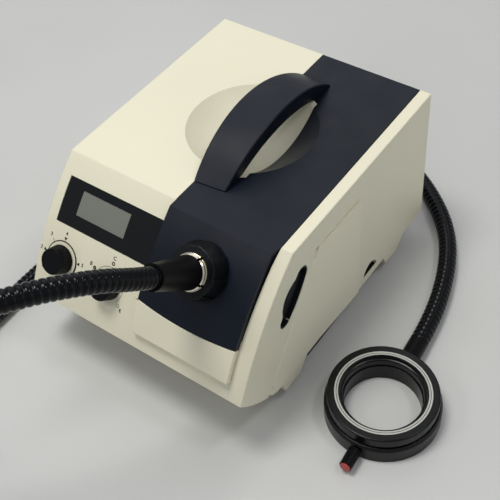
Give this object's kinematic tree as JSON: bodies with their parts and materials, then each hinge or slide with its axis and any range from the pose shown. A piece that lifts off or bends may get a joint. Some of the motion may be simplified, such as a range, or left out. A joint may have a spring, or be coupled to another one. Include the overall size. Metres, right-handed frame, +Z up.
{
  "type": "fiber optic illuminator",
  "caption": "Cold light source with a sloping control front, carrying handle, lamp door and filter slot, feeding a ring light through a flexible light guide.",
  "frame": {"origin": "on the bench, under the middle of the housing and the ring light together, without the light guide", "axes": "+X to the right seen from the front, +Y to the rear, +Z up"},
  "size_m": [0.3652, 0.528, 0.2221],
  "materials": {
    "cream_plastic": "fine satin moulded plastic",
    "navy_plastic": "fine satin moulded plastic",
    "black_plastic": "satin",
    "gloss_black_plastic": "glossy",
    "grey_plastic": "satin",
    "red_plastic": "satin",
    "hose_plastic": "glossy ribbed sheath",
    "display_glass": "grey liquid crystal window",
    "clear_glass": "clear",
    "filter_glass": "pale blue",
    "bulb_glass": "clear quartz",
    "black_metal": "satin black anodised",
    "steel": "zinc plated",
    "nickel": "satin nickel",
    "aluminium": "mill finish",
    "brass": "plain",
    "copper": "enamelled copper wire",
    "iron": "laminated core",
    "rubber": "matt",
    "board": "glass fibre board",
    "fibre": "polished fibre ends",
    "ceramic": "unglazed ceramic"
  },
  "bodies": {
    "housing": {"cream_cover": "cream_plastic", "dark_cover": "navy_plastic", "right_cover": "cream_plastic", "door_pins": "steel", "carry_handle": "navy_plastic", "handle_screws": "steel", "trim_block": "cream_plastic", "base_pan": "cream_plastic", "rubber_feet": "rubber", "rear_panel": "grey_plastic", "panel_screws": "steel", "display_bezel": "gloss_black_plastic", "display_glass": "display_glass", "display_board": "board", "potentiometer": "grey_plastic", "control_board": "board", "shaft_bushings": "brass", "aperture_guide": "aluminium", "socket_flange": "black_plastic", "socket_collet": "nickel", "plug_sleeve": "black_plastic", "plug_ferrule": "steel", "plug_bundle": "fibre", "light_guide": "hose_plastic", "guide_end_sleeve": "black_plastic", "ring_base": "black_metal", "ring_head": "black_metal", "fibre_ring": "fibre", "filter_guide": "black_plastic", "chassis_plate": "steel", "lamp_bracket": "steel", "lamp_reflector": "clear_glass", "lamp_capsule": "bulb_glass", "lamp_socket": "ceramic", "heat_shield": "aluminium", "fan_frame": "black_plastic", "transformer_core": "iron", "transformer_coil": "copper", "power_board": "board", "board_posts": "black_plastic", "capacitors": "gloss_black_plastic", "heat_sink": "aluminium", "mains_inlet": "black_plastic", "inlet_pins": "brass", "switch_housing": "black_plastic"},
    "intensity_dial": {"intensity_knob": "black_plastic", "intensity_shaft": "steel"},
    "aperture_dial": {"aperture_knob": "black_plastic", "aperture_shaft": "steel"},
    "vane": {"aperture_vane": "aluminium"},
    "collar": {"clamp_collar": "black_plastic"},
    "filter_drawer": {"filter_slider": "grey_plastic", "filter_glass": "filter_glass"},
    "door": {"lamp_door": "cream_plastic"},
    "rocker": {"power_rocker": "black_plastic"},
    "fan": {"fan_rotor": "black_plastic"},
    "screw_pad": {"pressure_pin": "brass"},
    "thumb_screw": {"clamp_screw": "black_plastic", "clamp_screw_cap": "red_plastic"},
    "fuse_holder": {"fuse_drawer": "grey_plastic"}
  },
  "joints": [
    {"name": "intensity_turn", "type": "hinge", "parent": "housing", "child": "intensity_dial", "pos_m": [-0.1323, -0.11608, 0.08907], "axis": [0, -0.8471, 0.5314], "range_deg": [-246, 42]},
    {"name": "aperture_turn", "type": "hinge", "parent": "housing", "child": "aperture_dial", "pos_m": [-0.0851, -0.11608, 0.08907], "axis": [0, -0.8471, 0.5314], "range_deg": [-134, 132]},
    {"name": "vane_slide", "type": "slide", "parent": "housing", "child": "vane", "axis": [1, 0, 0], "range_m": [-0.0129, 0.01309]},
    {"name": "collar_turn", "type": "hinge", "parent": "housing", "child": "collar", "pos_m": [-0.0114, -0.08916, 0.12466], "axis": [0, -0.766, 0.6428], "range_deg": [0, 120]},
    {"name": "filter_slide", "type": "slide", "parent": "housing", "child": "filter_drawer", "axis": [1, 0, 0], "range_m": [0, 0.06]},
    {"name": "lamp_door_swing", "type": "hinge", "parent": "housing", "child": "door", "pos_m": [0.0432, -0.09944, 0.0276], "axis": [0, -0.5591, -0.8291], "range_deg": [0, 90]},
    {"name": "power_switch", "type": "hinge", "parent": "housing", "child": "rocker", "pos_m": [-0.115, 0.12526, 0.096], "axis": [1, 0, 0], "range_deg": [-14, 0]},
    {"name": "fan_spin", "type": "hinge", "parent": "housing", "child": "fan", "pos_m": [-0.011, 0.10226, 0.075], "axis": [0, 1, 0], "continuous": true},
    {"name": "screw_travel", "type": "slide", "parent": "housing", "child": "screw_pad", "axis": [-0.061, 0.9981, 0], "range_m": [-0.0007, 0.00105]},
    {"name": "thumb_screw_turn", "type": "hinge", "parent": "screw_pad", "child": "thumb_screw", "pos_m": [0.11289, -0.07788, 0.008], "axis": [-0.061, 0.9981, 0], "range_deg": [-360, 540]},
    {"name": "fuse_slide", "type": "slide", "parent": "housing", "child": "fuse_holder", "axis": [0, 1, 0], "range_m": [0, 0.018]}
  ],
  "couplings": [
    {"joint": "aperture_turn", "follows": "vane_slide", "rad_per_m": -178.57},
    {"joint": "thumb_screw_turn", "follows": "screw_travel", "rad_per_m": 8975.9}
  ]
}
